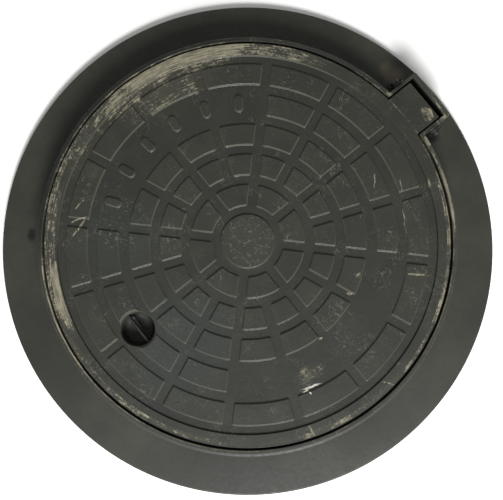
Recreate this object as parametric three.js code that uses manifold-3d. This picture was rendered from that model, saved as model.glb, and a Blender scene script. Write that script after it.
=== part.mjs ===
// A round hinged manhole cover for a sewer chamber: a cast-iron frame with a wide bedding flange, and a
// cast-iron lid with a raised non-slip pattern that swings up on a steel pin.
// Millimetres, +Z up. The origin is the centre of the frame's underside, and the hinge is on the +Y side.
import * as THREE from "three";
import { mergeVertices } from "three/addons/utils/BufferGeometryUtils.js";
import Module from "manifold-3d";

const wasm = await Module();
wasm.setup();

// ---- Driving dimensions -------------------------------------------------------------------------
const HEIGHT = 65; // underside of the frame to its top edge, which is flush with the lid
const BASE_R = 400; // edge of the bedding flange
const CLEAR_R = 300; // clear opening
const LID_R = 318.5; // lid at its top edge
const LID_GAP = 3; // round gap between lid and frame
const RIM_WIDTH = 20; // flat ring round the lid's edge
const RELIEF = 3; // height of the tread pattern above the field
const PLATE = 9; // lid plate under the field
const SEAT_Z = 33; // seat that carries the gasket
const SKIRT_Z = 37; // lower edge of the lid's skirt
const ROUND_STEPS = 72; // facets round a full circle of the castings
const DRAFT = 2; // how much an upright face leans, so that the casting leaves its mould
const EDGE_BREAK = 1; // small chamfer along the lid's upper edges
const SKIRT_TAPER = 3.5; // the lid is this much narrower at the foot of its skirt
const SKIRT_FILLET = 4;
const OVERLAP = 1; // how far joined shapes reach into one another, and cutting shapes past a face

// ---- Hinge --------------------------------------------------------------------------------------
const PIN_Y = 346;
const PIN_Z = HEIGHT - 15;
const PIN_R = 7;
const PIN_FIT = 0.4; // radial play of the pin in each bore
const TONGUE_HALF = 35.5; // half width of the tongue that joins the lid to the pin
const TONGUE_ROOT = LID_R - RIM_WIDTH + 3; // starts inside the lid's flat rim
const TONGUE_END = 361;
const TONGUE_PLATE = 12;
const LUG_R = 15; // barrel round the pin under the tongue
const POCKET_HALF = TONGUE_HALF + 3;
const POCKET_END = 369.5;
const POCKET_SIDE = 5; // side walls of the pocket
const POCKET_BACK = 10; // wall behind the tongue
const POCKET_FLOOR = 24;
const BOSS_R = 12.5;
const BOSS_END = POCKET_HALF + POCKET_SIDE + 2;
const WASHER_R = 12;
const WASHER_T = 2.5;
const SPLIT_WIRE_R = 1.6;
const SPLIT_GAP = 0.5; // play between a washer and its split pin
const PIN_OVERHANG = 7; // pin beyond each washer
const PIN_STEPS = 24;

// ---- Lifting hole -------------------------------------------------------------------------------
const HOLE_Y = -218.5;
const HOLE_R = 26.5;
const HOLE_CHAMFER = 4;
const CUP_WALL = 8;
const CUP_FLOOR = 7; // thickness of the cup's floor
const CUP_STEPS = 36;
const CUP_BOTTOM = 33; // floor of the blind cup
const CUP_ROUND = 12; // how far the cup's foot curves inwards
const BAR_HALF = 32.5;
const BAR_HALF_THICK = 2;
const BAR_LOW = 42;
const BAR_HIGH = 56;
const FIT = 0.3; // gap left between touching pieces

// ---- Tread pattern ------------------------------------------------------------------------------
const CENTRE_DISC_R = 41.7;
const TILE_LENGTH = 32; // along the radius
const CHANNEL_HALF = 8; // half width of the straight channels between tiles
// Outer radius of each ring of tiles, its number of places, and the places that are left plain, counted
// anticlockwise from the hinge. The lettered band of the real cover is plain here, with six plain studs.
const LETTER_BAND = [2, 3, 4, 5];
const BLANK_BAND = [10, 11, 12, 13];
const TILE_RINGS = [
  { outer: 284, places: 16, plain: [] },
  { outer: 235, places: 16, plain: [...LETTER_BAND, ...BLANK_BAND] },
  { outer: 186, places: 16, plain: [] },
  { outer: 137.5, places: 16, plain: [] },
  { outer: 89, places: 8, plain: [] },
];
const STUD_COUNT = 6;
const STUD_PITCH = 14; // degrees
const STUD_MIDDLE = 180; // degrees, the middle of the plain band
const STUD_RADIUS = 220.5;
const STUD_HALF_WIDTH = 6;
const STUD_HALF_HEIGHT = 13;

// ---- Ribs under the lid -------------------------------------------------------------------------
const RIB_COUNT = 8;
const RIB_HALF = 4;
const HUB_R = 36;
const HUB_BOTTOM = 26;
const RIB_OUTER_Z = 41; // underside of a rib where it meets the skirt

const FIELD_Z = HEIGHT - RELIEF;
const PLATE_Z = FIELD_Z - PLATE;

// ---- Solids -------------------------------------------------------------------------------------
function toSolid(geometry) {
  const bare = geometry.clone();
  bare.deleteAttribute("normal");
  bare.deleteAttribute("uv");
  const merged = mergeVertices(bare, 1e-4);
  return new wasm.Manifold(
    new wasm.Mesh({
      numProp: 3,
      vertProperties: merged.attributes.position.array,
      triVerts: new Uint32Array(merged.index.array),
    }),
  );
}

function toMesh(name, solid, material) {
  const { vertProperties, triVerts } = solid.getMesh();
  const geometry = new THREE.BufferGeometry()
    .setAttribute("position", new THREE.BufferAttribute(vertProperties, 3))
    .setIndex(new THREE.BufferAttribute(triVerts, 1));
  geometry.computeVertexNormals();
  const mesh = new THREE.Mesh(geometry, material);
  mesh.name = name;
  return mesh;
}

// A profile of [radius, z] points turned about the Z axis.
function turned(profile, steps = ROUND_STEPS) {
  const points = profile.map(([r, z]) => new THREE.Vector2(r, z));
  return toSolid(new THREE.LatheGeometry(points, steps).rotateX(Math.PI / 2));
}

// A round bar along X, centred on (y, z).
function barX(radius, from, to, y, z, steps = PIN_STEPS) {
  const bar = new THREE.CylinderGeometry(radius, radius, to - from, steps);
  return toSolid(bar.rotateZ(Math.PI / 2).translate((from + to) / 2, y, z));
}

// A round post along Z, centred on the Z axis.
function post(radius, from, to, steps = 12) {
  const bar = new THREE.CylinderGeometry(radius, radius, to - from, steps);
  return toSolid(bar.rotateX(Math.PI / 2).translate(0, 0, (from + to) / 2));
}

function block(x0, x1, y0, y1, z0, z1) {
  const box = new THREE.BoxGeometry(x1 - x0, y1 - y0, z1 - z0);
  return toSolid(box.translate((x0 + x1) / 2, (y0 + y1) / 2, (z0 + z1) / 2));
}

// A flat outline in the XY plane raised from z0 to z1.
function raised(shape, z0, z1, curveSegments = 2) {
  const options = { depth: z1 - z0, bevelEnabled: false, curveSegments };
  return toSolid(new THREE.ExtrudeGeometry(shape, options).translate(0, 0, z0));
}

// An outline in the YZ plane, drawn with x as y and y as z, extruded along X.
function extrudedX(shape, from, to) {
  const options = { depth: to - from, bevelEnabled: false, curveSegments: 6 };
  const geometry = new THREE.ExtrudeGeometry(shape, options);
  geometry.rotateY(Math.PI / 2).rotateX(Math.PI / 2).translate(from, 0, 0);
  return toSolid(geometry);
}

// ---- Tread pattern ------------------------------------------------------------------------------
// Half the angle that a tile spans at a radius, where its sides run parallel to the channels.
const halfSpan = (radius, places) =>
  Math.PI / places - Math.asin(CHANNEL_HALF / radius);

function tile(outer, places, middle) {
  const inner = outer - TILE_LENGTH;
  const wide = halfSpan(outer, places);
  const narrow = halfSpan(inner, places);
  const shape = new THREE.Shape();
  shape.absarc(0, 0, outer, middle - wide, middle + wide, false);
  shape.absarc(0, 0, inner, middle + narrow, middle - narrow, true);
  shape.closePath();
  return raised(shape, FIELD_Z - OVERLAP, HEIGHT);
}

function stud(middle) {
  const shape = new THREE.Shape();
  const reach = STUD_HALF_HEIGHT - STUD_HALF_WIDTH;
  shape.absarc(reach, 0, STUD_HALF_WIDTH, -Math.PI / 2, Math.PI / 2, false);
  shape.absarc(-reach, 0, STUD_HALF_WIDTH, Math.PI / 2, (3 * Math.PI) / 2, false);
  return raised(shape, FIELD_Z - OVERLAP, HEIGHT, 3)
    .translate([STUD_RADIUS, 0, 0])
    .rotate([0, 0, middle]);
}

function treadPattern() {
  const raisedPieces = [];
  for (const { outer, places, plain } of TILE_RINGS) {
    for (let place = 0; place < places; place++) {
      if (plain.includes(place)) continue;
      const middle = Math.PI / 2 + ((place + 0.5) * 2 * Math.PI) / places;
      raisedPieces.push(tile(outer, places, middle));
    }
  }
  for (let i = 0; i < STUD_COUNT; i++)
    raisedPieces.push(stud(STUD_MIDDLE + (i - (STUD_COUNT - 1) / 2) * STUD_PITCH));
  return wasm.Manifold.union(raisedPieces);
}

// The cutting shape for the pin's bore through a wall that reaches from -half to half.
const pinBore = (half) =>
  barX(PIN_R + PIN_FIT, -half - OVERLAP, half + OVERLAP, PIN_Y, PIN_Z);

// ---- Lid ----------------------------------------------------------------------------------------
function lidPlate() {
  const rimInner = LID_R - RIM_WIDTH;
  return turned([
    [0, HUB_BOTTOM],
    [HUB_R - DRAFT, HUB_BOTTOM],
    [HUB_R, HUB_BOTTOM + DRAFT],
    [HUB_R + DRAFT, PLATE_Z],
    [CLEAR_R - DRAFT - SKIRT_FILLET, PLATE_Z],
    [CLEAR_R - DRAFT, PLATE_Z - SKIRT_FILLET],
    [CLEAR_R, SKIRT_Z],
    [LID_R - SKIRT_TAPER, SKIRT_Z],
    [LID_R, HEIGHT - EDGE_BREAK],
    [LID_R - EDGE_BREAK, HEIGHT],
    [rimInner, HEIGHT],
    [rimInner - EDGE_BREAK, FIELD_Z],
    [CENTRE_DISC_R + EDGE_BREAK, FIELD_Z],
    [CENTRE_DISC_R, HEIGHT],
    [0, HEIGHT],
  ]);
}

function rib(angle) {
  const side = new THREE.Shape();
  side.moveTo(HUB_R - RIB_HALF, HUB_BOTTOM + OVERLAP);
  side.lineTo(CLEAR_R, RIB_OUTER_Z);
  side.lineTo(CLEAR_R, PLATE_Z + OVERLAP);
  side.lineTo(HUB_R - RIB_HALF, PLATE_Z + OVERLAP);
  side.closePath();
  return extrudedX(side, -RIB_HALF, RIB_HALF).rotate([0, 0, angle]);
}

// The tongue that passes through the frame's pocket, with the barrel that turns on the pin.
function hingeTongue() {
  const side = new THREE.Shape();
  side.moveTo(TONGUE_ROOT, HEIGHT);
  side.lineTo(TONGUE_ROOT, HEIGHT - TONGUE_PLATE);
  side.lineTo(PIN_Y - LUG_R, HEIGHT - TONGUE_PLATE);
  side.lineTo(PIN_Y - LUG_R, PIN_Z);
  side.absarc(PIN_Y, PIN_Z, LUG_R, Math.PI, 2 * Math.PI, false);
  side.lineTo(TONGUE_END, HEIGHT);
  side.closePath();
  return extrudedX(side, -TONGUE_HALF, TONGUE_HALF);
}

// The lifting hole is a blind cup, so that it lets no water or smell through. This is the solid that fills
// a cup of a radius and floor height up to the given [radius, z] points at its mouth.
function cup(radius, floor, mouth) {
  const profile = [
    [0, floor],
    [radius - CUP_ROUND, floor],
    [radius - CUP_ROUND / 4, floor + CUP_ROUND / 3],
    [radius, floor + CUP_ROUND],
    ...mouth,
  ];
  return turned(profile, CUP_STEPS).translate([0, HOLE_Y, 0]);
}

function cupOutside() {
  const radius = HOLE_R + CUP_WALL;
  const top = PLATE_Z + OVERLAP;
  return cup(radius, CUP_BOTTOM - CUP_FLOOR, [
    [radius, top],
    [0, top],
  ]);
}

function cupInside() {
  const top = HEIGHT + OVERLAP;
  return cup(HOLE_R, CUP_BOTTOM, [
    [HOLE_R, HEIGHT - HOLE_CHAMFER],
    [HOLE_R + HOLE_CHAMFER + OVERLAP, top],
    [0, top],
  ]);
}

function lid() {
  const ribs = [];
  for (let i = 0; i < RIB_COUNT; i++) ribs.push(rib(((i + 0.5) * 360) / RIB_COUNT));
  return wasm.Manifold.union([
    lidPlate(),
    treadPattern(),
    hingeTongue(),
    cupOutside(),
    ...ribs,
  ])
    .subtract(cupInside())
    .subtract(flatBar(FIT))
    .subtract(pinBore(TONGUE_HALF));
}

// ---- Frame --------------------------------------------------------------------------------------
const GROOVE_IN = 304;
const GROOVE_OUT = 316;
const GROOVE_Z = 30;
const FRAME_IN = LID_R + LID_GAP; // inner face of the wall at its top edge
const WALL_OUT = 328.5; // wall at its top edge
const FILLET_R = 16; // between wall and flange
const FLANGE_ROOT_Z = 17.5;
const FLANGE_EDGE_Z = 13;
const CHANNEL_IN = 312; // cored channel under the seat
const CHANNEL_OUT = 326;
const CHANNEL_TOP = 20;
const WEB_COUNT = 12;
const WEB_HALF = 4;
const WEB_START = 15; // degrees
const WALL_LEAN = 3.5; // the wall is this much thicker where it meets the fillet
const WALL_EDGE = 1.5; // chamfer on the wall's outer top edge
const SEAT_TAPER = 1.5; // the wall's inner face leans in by this much down to the seat
const FLANGE_EDGE = 2; // chamfer round the flange
const WALL_BITE = 0.7; // how far the pocket's block reaches into the round wall
const LEDGE_EDGE = 317.5; // the pocket's ledge under the tongue starts outside the gasket

function frameRing() {
  const filletR = WALL_OUT + WALL_LEAN + FILLET_R;
  const filletZ = FLANGE_ROOT_Z + FILLET_R;
  const fillet = [];
  for (let i = 0; i <= 3; i++) {
    const a = -Math.PI / 2 - (i * Math.PI) / 6;
    fillet.push([filletR + FILLET_R * Math.cos(a), filletZ + FILLET_R * Math.sin(a)]);
  }
  const profile = [
    [CLEAR_R + DRAFT, 0],
    [CHANNEL_IN, 0],
    [CHANNEL_IN + DRAFT, CHANNEL_TOP],
    [CHANNEL_OUT - DRAFT, CHANNEL_TOP],
    [CHANNEL_OUT, 0],
    [BASE_R, 0],
    [BASE_R, FLANGE_EDGE_Z - FLANGE_EDGE],
    [BASE_R - FLANGE_EDGE, FLANGE_EDGE_Z],
    ...fillet,
    [WALL_OUT, HEIGHT - WALL_EDGE],
    [WALL_OUT - WALL_EDGE, HEIGHT],
    [FRAME_IN, HEIGHT],
    [FRAME_IN - SEAT_TAPER, SEAT_Z],
    [GROOVE_OUT, SEAT_Z],
    [GROOVE_OUT, GROOVE_Z],
    [GROOVE_IN, GROOVE_Z],
    [GROOVE_IN, SEAT_Z],
    [CLEAR_R, SEAT_Z],
    [CLEAR_R + DRAFT, 0],
  ];
  return turned(profile);
}

function channelWeb(angle) {
  const web = block(
    CHANNEL_IN,
    CHANNEL_OUT,
    -WEB_HALF,
    WEB_HALF,
    0,
    CHANNEL_TOP + OVERLAP,
  );
  return web.rotate([0, 0, angle]);
}

function frame() {
  const half = POCKET_HALF;
  const outerHalf = POCKET_HALF + POCKET_SIDE;
  const wallFoot = FRAME_IN + WALL_BITE;
  const back = POCKET_END + POCKET_BACK;
  const top = HEIGHT + OVERLAP;
  const webs = [];
  for (let i = 0; i < WEB_COUNT; i++)
    webs.push(channelWeb((i * 360) / WEB_COUNT + WEB_START));
  return wasm.Manifold.union([
    frameRing(),
    block(-outerHalf, outerHalf, wallFoot, back, OVERLAP, HEIGHT),
    barX(BOSS_R, -BOSS_END, BOSS_END, PIN_Y, PIN_Z),
    ...webs,
  ])
    .subtract(block(-half, half, FRAME_IN, POCKET_END, POCKET_FLOOR, top))
    .subtract(block(-half, half, LEDGE_EDGE, POCKET_END, SEAT_Z, top))
    .subtract(pinBore(BOSS_END));
}

function seatGasket() {
  return turned([
    [GROOVE_IN + FIT, GROOVE_Z],
    [GROOVE_OUT - FIT, GROOVE_Z],
    [GROOVE_OUT - FIT, SKIRT_Z - FIT],
    [GROOVE_IN + FIT, SKIRT_Z - FIT],
    [GROOVE_IN + FIT, GROOVE_Z],
  ]);
}

// ---- Hinge hardware -----------------------------------------------------------------------------
const WASHER_START = BOSS_END + FIT;
const WASHER_END = WASHER_START + WASHER_T;
const SPLIT_X = WASHER_END + SPLIT_GAP + SPLIT_WIRE_R;
const PIN_HALF = WASHER_END + PIN_OVERHANG;

function hingePin() {
  const chamfer = 1.5;
  const blank = turned(
    [
      [0, -PIN_HALF],
      [PIN_R - chamfer, -PIN_HALF],
      [PIN_R, -PIN_HALF + chamfer],
      [PIN_R, PIN_HALF - chamfer],
      [PIN_R - chamfer, PIN_HALF],
      [0, PIN_HALF],
    ],
    PIN_STEPS,
  )
    .rotate([0, 90, 0])
    .translate([0, PIN_Y, PIN_Z]);
  const drill = (x) =>
    post(SPLIT_WIRE_R + FIT, -PIN_R - OVERLAP, PIN_R + OVERLAP)
      .rotate([90, 0, 0])
      .translate([x, PIN_Y, PIN_Z]);
  return blank.subtract(drill(-SPLIT_X)).subtract(drill(SPLIT_X));
}

function washer(side) {
  const bore = PIN_R + PIN_FIT;
  const half = WASHER_T / 2;
  return turned(
    [
      [bore, -half],
      [WASHER_R, -half],
      [WASHER_R, half],
      [bore, half],
      [bore, -half],
    ],
    PIN_STEPS,
  )
    .rotate([0, 90, 0])
    .translate([side * (WASHER_START + half), PIN_Y, PIN_Z]);
}

// A split pin pushed through the hinge pin from behind, with its eye outside and its legs bent apart.
function splitPin(side) {
  const shankEnd = PIN_R + 1.5;
  const eyeR = 3;
  const eyeWireR = 1.4;
  const legR = 1.1;
  const legLength = 6;
  const eye = toSolid(
    new THREE.TorusGeometry(eyeR, eyeWireR, 8, 16)
      .rotateY(Math.PI / 2)
      .translate(0, 0, shankEnd + eyeR),
  );
  const leg = (lean) =>
    post(legR, -legLength, OVERLAP).rotate([lean, 0, 0]).translate([0, 0, -shankEnd]);
  return wasm.Manifold.union([
    post(SPLIT_WIRE_R, -shankEnd, shankEnd),
    eye,
    leg(55),
    leg(-55),
  ])
    .rotate([-90, 0, 0])
    .translate([side * SPLIT_X, PIN_Y, PIN_Z]);
}

// A flat bar on edge across the lifting hole, with its ends in the cup's wall. The room round it is
// added on every side.
function flatBar(room) {
  return block(
    -BAR_HALF - room,
    BAR_HALF + room,
    HOLE_Y - BAR_HALF_THICK - room,
    HOLE_Y + BAR_HALF_THICK + room,
    BAR_LOW - room,
    BAR_HIGH + room,
  );
}

// ---- Materials ----------------------------------------------------------------------------------
const paintedIron = new THREE.MeshStandardMaterial({
  name: "painted_cast_iron",
  color: 0x43443f,
  roughness: 0.55,
  metalness: 0.2,
});
const rubber = new THREE.MeshStandardMaterial({
  name: "rubber",
  color: 0x1c1c1c,
  roughness: 0.85,
  metalness: 0,
});
const steel = new THREE.MeshStandardMaterial({
  name: "steel",
  color: 0x77756e,
  roughness: 0.45,
  metalness: 0.9,
});

// ---- Assembly -----------------------------------------------------------------------------------
const frameGroup = new THREE.Group();
frameGroup.add(
  toMesh("frame", frame(), paintedIron),
  toMesh("seat_gasket", seatGasket(), rubber),
  toMesh("hinge_pin", hingePin(), steel),
  toMesh("hinge_washer_left", washer(-1), steel),
  toMesh("hinge_washer_right", washer(1), steel),
  toMesh("split_pin_left", splitPin(-1), steel),
  toMesh("split_pin_right", splitPin(1), steel),
);

const lidGroup = new THREE.Group();
lidGroup.add(
  toMesh("lid", lid(), paintedIron),
  toMesh("lifting_bar", flatBar(0), steel),
);

const manholeCover = new THREE.Group();
manholeCover.add(frameGroup, lidGroup);

export default manholeCover;
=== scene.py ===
"""The looks of a round hinged manhole cover: coated cast iron, a steel hinge pin and a rubber seat ring."""

import math

import bmesh
import bpy
from mathutils import Matrix, Vector


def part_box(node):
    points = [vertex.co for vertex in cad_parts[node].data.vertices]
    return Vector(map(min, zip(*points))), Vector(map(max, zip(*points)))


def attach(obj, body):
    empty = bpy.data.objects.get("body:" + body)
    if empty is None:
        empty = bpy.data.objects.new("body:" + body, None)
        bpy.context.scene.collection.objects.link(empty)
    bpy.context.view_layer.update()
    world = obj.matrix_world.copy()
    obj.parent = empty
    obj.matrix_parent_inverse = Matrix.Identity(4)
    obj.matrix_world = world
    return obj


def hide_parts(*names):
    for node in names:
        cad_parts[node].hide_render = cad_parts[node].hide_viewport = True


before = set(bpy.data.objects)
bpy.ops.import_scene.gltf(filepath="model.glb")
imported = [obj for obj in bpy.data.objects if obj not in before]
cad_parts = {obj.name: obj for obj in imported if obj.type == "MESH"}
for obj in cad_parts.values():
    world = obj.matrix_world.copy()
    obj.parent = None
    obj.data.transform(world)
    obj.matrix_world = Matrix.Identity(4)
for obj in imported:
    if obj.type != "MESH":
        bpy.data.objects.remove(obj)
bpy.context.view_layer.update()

# ---- Sizes, in millimetres -----------------------------------------------------------------------
MM = 0.001


def box_mm(node):
    """The lowest and highest corner of a CAD node, in millimetres."""
    low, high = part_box(node)
    return Vector(low) / MM, Vector(high) / MM


_, FRAME_HIGH = box_mm("frame")
_, LID_HIGH = box_mm("lid")
GASKET_LOW, GASKET_HIGH = box_mm("seat_gasket")
PIN_LOW, PIN_HIGH = box_mm("hinge_pin")
WASHER_LOW, WASHER_HIGH = box_mm("hinge_washer_right")
SPLIT_LOW, SPLIT_HIGH = box_mm("split_pin_right")
BAR_LOW, BAR_HIGH = box_mm("lifting_bar")

HEIGHT = FRAME_HIGH.z
BASE_R = FRAME_HIGH.x
LID_R = LID_HIGH.x
CLEAR_R = 300
ROUND_STEPS = 192  # facets round a full circle

PIN_Y = (PIN_LOW.y + PIN_HIGH.y) / 2
PIN_Z = (PIN_LOW.z + PIN_HIGH.z) / 2
PIN_R = (PIN_HIGH.z - PIN_LOW.z) / 2
PIN_HALF = PIN_HIGH.x
BORE_R = PIN_R + 0.4
HOLE_Y = (BAR_LOW.y + BAR_HIGH.y) / 2
SPLIT_X = (SPLIT_LOW.x + SPLIT_HIGH.x) / 2

EDGE_SOFTENING = 0.6  # rounding of the small cast edges
CUT_PAST = 1  # how far a cutting solid runs past the surface it cuts
JOIN_OVERLAP = 1  # how far a joined solid runs into its neighbour
NEAR = 0.01  # points this close count as the same place
RIGHT_ANGLE = math.pi / 2

RELIEF = 3  # tread above the field
FIELD_Z = HEIGHT - RELIEF
PLATE = 9
PLATE_Z = FIELD_Z - PLATE  # underside of the lid's plate
RIM_WIDTH = 20
RIM_IN = LID_R - RIM_WIDTH
RIM_EDGE = 1.2
STEP_SLOPE = 1  # the step from rim or disc to the field leans out by this much
SKIRT_Z = GASKET_HIGH.z + 0.3
SKIRT_TAPER = 3.5
SKIRT_FILLET = 5
HUB_R = 38
HUB_Z = 26
HUB_TAPER = 3
RIB_COUNT = 8
RIB_IN = 30
RIB_HALF = 4
RIB_ROOT_HALF = 5.5
RIB_LOW_AT_HUB = 27
RIB_LOW_AT_SKIRT = 41
RIB_EDGE = 2.5

TONGUE_HALF = 35.5
TONGUE_END = LID_HIGH.y
TONGUE_THICKNESS = 12
TONGUE_ROOT = RIM_IN + 3
TONGUE_CORNER_R = 4
LUG_R = PIN_Z - 35

CENTRE_DISC_R = 41.7
TILE_LENGTH = 32
CHANNEL_HALF = 8
# Outer radius of each ring of tiles, its number of places round the lid, and the places left plain,
# counted anticlockwise from the hinge.
TILE_RINGS = (
    (284, 16, ()),
    (235, 16, (2, 3, 4, 5, 10, 11, 12, 13)),
    (186, 16, ()),
    (137.5, 16, ()),
    (89, 8, ()),
)
# How the side of a raised shape goes up from the field: (inset, rise) from its foot to its flat top.
RAISED_SIDE = ((0.5, 0.15), (0.4, 0.45), (0.8, 1.4), (0.35, 0.55), (0.3, 0.3), (0.35, 0.15))
SIDE_TO_TOP_EDGE = 1.9  # inset from the foot to where the drawn outline lies
RAISED_ROOT = 2  # how far a raised shape reaches down into the plate
TILE_CORNER_R = 3.4
TILE_CORNER_CLEAR = 5
TILE_STEPS = 12
STUD_COUNT = 6
STUD_PITCH = math.radians(14)
STUD_R = 220.5
STUD_HALF_WIDTH = 6
STUD_HALF_HEIGHT = 13

HOLE_R = 26.5
HOLE_CHAMFER = 4
CUP_WALL = 8
CUP_FLOOR = 7
CUP_BOTTOM = 33
CUP_STEPS = 64
CUP_INNER_R = 8  # rounding of the cup's floor inside
CUP_OUTER_R = 9  # and outside
BAR_ROOM = 0.3
BAR_EDGE = 1.2

POCKET_HALF = TONGUE_HALF + 3
POCKET_END = 369.5
POCKET_SIDE = 5
POCKET_BACK = 10
POCKET_FLOOR = 24
BOSS_R = 12.5
BOSS_END = POCKET_HALF + POCKET_SIDE + 2
LID_GAP = 3
WALL_IN = LID_R + LID_GAP
WALL_OUT = 328.5
WALL_LEAN = 3.5  # the wall's foot stands out from its top by this much
SEAT_TAPER = 1.5
SEAT_Z = 33
LEDGE_EDGE = 317.5
POCKET_CORNER_R = 4
POCKET_FOOT = 6
GROOVE_IN = 304
GROOVE_OUT = 316
GROOVE_Z = 30

# The hollow under the seat, between the frame's inner ring and its flange, and the webs across it.
FOOT_IN = 302
HOLLOW_IN = 312
HOLLOW_OUT = 326
HOLLOW_TAPER = 2
HOLLOW_TOP = 20
WEB_COUNT = 12
WEB_HALF = 4
WEB_FOOT = 0.5
FLANGE_EDGE_Z = 13
FLANGE_TOP_Z = 17
FLANGE_BREAK_R = 350

GASKET_WIDTH = 11.4
GASKET_SHOULDER = 2.4
SPLIT_HOLE_R = 1.9
WIRE_R = 0.8
EYE_R = 2.6
EYE_STEP = 20  # degrees between the points round the eye
LEG_SPREAD = 6
LEG_DROP = 3.6


# ---- Shapes --------------------------------------------------------------------------------------
def turned(profile, steps=ROUND_STEPS, centre=(0, 0), segments=3):
    """A solid turned about a vertical axis from (radius, height, rounding) corners, going round once."""
    bm = bmesh.new()
    verts = [bm.verts.new((r, 0, z)) for r, z, _ in profile]
    pairs = list(zip(verts, verts[1:]))
    if profile[0][0] > 0:
        pairs.append((verts[-1], verts[0]))
    edges = [bm.edges.new(pair) for pair in pairs]
    bmesh.ops.spin(
        bm, geom=verts + edges, cent=(0, 0, 0), axis=(0, 0, 1), angle=math.tau, steps=steps, use_merge=True
    )
    bmesh.ops.remove_doubles(bm, verts=bm.verts, dist=0.001)
    bmesh.ops.recalc_face_normals(bm, faces=bm.faces)
    for r, z, rounding in profile:
        if rounding:
            round_ring(bm, r, z, rounding, segments)
    bmesh.ops.translate(bm, verts=bm.verts, vec=(*centre, 0))
    return bm


def round_ring(bm, r, z, rounding, segments):
    """Rounds the circular edge at a radius and height."""

    def on_ring(v):
        return abs(v.co.z - z) < NEAR and abs(math.hypot(v.co.x, v.co.y) - r) < NEAR

    edges = [e for e in bm.edges if on_ring(e.verts[0]) and on_ring(e.verts[1])]
    bevel(bm, edges, rounding, segments)


def bevel(bm, geom, offset, segments=3, affect="EDGES"):
    """Rounds edges or corners, and leaves the material of the new faces to their neighbours."""
    bmesh.ops.bevel(
        bm, geom=geom, offset=offset, segments=segments, profile=0.5, affect=affect, material=-1,
        clamp_overlap=True,
    )


def turn_to_x(bm, y, z):
    """Lays a shape that was made about the Z axis along X, through (y, z)."""
    bmesh.ops.rotate(bm, verts=bm.verts, cent=(0, 0, 0), matrix=Matrix.Rotation(RIGHT_ANGLE, 3, "Y"))
    bmesh.ops.translate(bm, verts=bm.verts, vec=(0, y, z))
    return bm


def bar_x(radius, half, y, z, rounding=0, steps=32):
    """A round bar along X."""
    profile = ((0, -half, 0), (radius, -half, rounding), (radius, half, rounding), (0, half, 0))
    return turn_to_x(turned(profile, steps), y, z)


def prism(outline, depth):
    """A solid raised from a flat outline of 3D points, along depth."""
    bm = bmesh.new()
    face = bm.faces.new([bm.verts.new(point) for point in outline])
    top = bmesh.ops.extrude_face_region(bm, geom=[face])["geom"]
    moved = [v for v in top if isinstance(v, bmesh.types.BMVert)]
    bmesh.ops.translate(bm, verts=moved, vec=depth)
    bmesh.ops.recalc_face_normals(bm, faces=bm.faces)
    return bm


def block(x0, x1, y0, y1, z0, z1):
    """A box between two values on each axis."""
    return prism(((x0, y0, z0), (x1, y0, z0), (x1, y1, z0), (x0, y1, z0)), (0, 0, z1 - z0))


def edges_where(bm, test):
    """The edges with both ends at places that pass a test."""
    return [e for e in bm.edges if test(e.verts[0].co) and test(e.verts[1].co)]


def stamp(bm, source, angles):
    """Adds a copy of a solid at each angle round the vertical axis, and uses the solid up."""
    mesh = bpy.data.meshes.new("stamp")
    source.to_mesh(mesh)
    source.free()
    for angle in angles:
        count = len(bm.verts)
        bm.from_mesh(mesh)
        bm.verts.ensure_lookup_table()
        bmesh.ops.rotate(bm, verts=bm.verts[count:], cent=(0, 0, 0), matrix=Matrix.Rotation(angle, 3, "Z"))
    bpy.data.meshes.remove(mesh)


def raise_outline(bm, face, steps, root):
    """Raises a flat face through (inset, rise) steps, and closes the solid root millimetres below it."""
    if face.normal.z < 0:
        face.normal_flip()
    for inset, rise in steps:
        bmesh.ops.inset_region(
            bm, faces=[face], thickness=inset, depth=rise, use_boundary=True, use_even_offset=True
        )
    foot = [e for e in bm.edges if e.is_boundary]
    lowered = bmesh.ops.extrude_edge_only(bm, edges=foot)["geom"]
    moved = [v for v in lowered if isinstance(v, bmesh.types.BMVert)]
    bmesh.ops.translate(bm, verts=moved, vec=(0, 0, -root))
    bmesh.ops.edgeloop_fill(bm, edges=[e for e in bm.edges if e.is_boundary])
    bmesh.ops.recalc_face_normals(bm, faces=bm.faces)
    return bm


def only_face(bm):
    """The one face of a flat outline."""
    bm.faces.ensure_lookup_table()
    return bm.faces[0]


def clear_corners(bm, reach):
    """Takes out the outline's vertices that lie too close to a corner for it to be rounded."""
    corners = corner_verts(only_face(bm))
    near = {e.other_vert(v) for v in corners for e in v.link_edges if e.calc_length() < reach}
    bmesh.ops.dissolve_verts(bm, verts=list(near - set(corners)))


def corner_verts(face, sharpest=math.radians(40)):
    """The vertices where a flat outline turns by more than an angle."""
    corners = []
    for loop in face.loops:
        before = loop.vert.co - loop.link_loop_prev.vert.co
        after = loop.link_loop_next.vert.co - loop.vert.co
        if before.angle(after) > sharpest:
            corners.append(loop.vert)
    return corners


# ---- Working solids and pieces -------------------------------------------------------------------
def working_object(bm, name="working"):
    """Puts a shape in the scene as an object, and uses the shape up."""
    mesh = bpy.data.meshes.new(name)
    bm.to_mesh(mesh)
    bm.free()
    obj = bpy.data.objects.new(name, mesh)
    bpy.context.scene.collection.objects.link(obj)
    return obj


def carved(base, added, removed):
    """The solid that is left when solids are joined to base and others are cut away."""
    obj = working_object(base)
    helpers = []
    for operation, solids in (("UNION", added), ("DIFFERENCE", removed)):
        for bm in solids:
            helper = working_object(bm)
            helpers.append(helper)
            modifier = obj.modifiers.new(operation, "BOOLEAN")
            modifier.operation = operation
            modifier.object = helper
            modifier.solver = "EXACT"
    shape = bpy.data.meshes.new_from_object(obj.evaluated_get(bpy.context.evaluated_depsgraph_get()))
    result = bmesh.new()
    result.from_mesh(shape)
    for helper in [obj, *helpers]:
        mesh = helper.data
        bpy.data.objects.remove(helper)
        bpy.data.meshes.remove(mesh)
    bpy.data.meshes.remove(shape)
    return result


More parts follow.
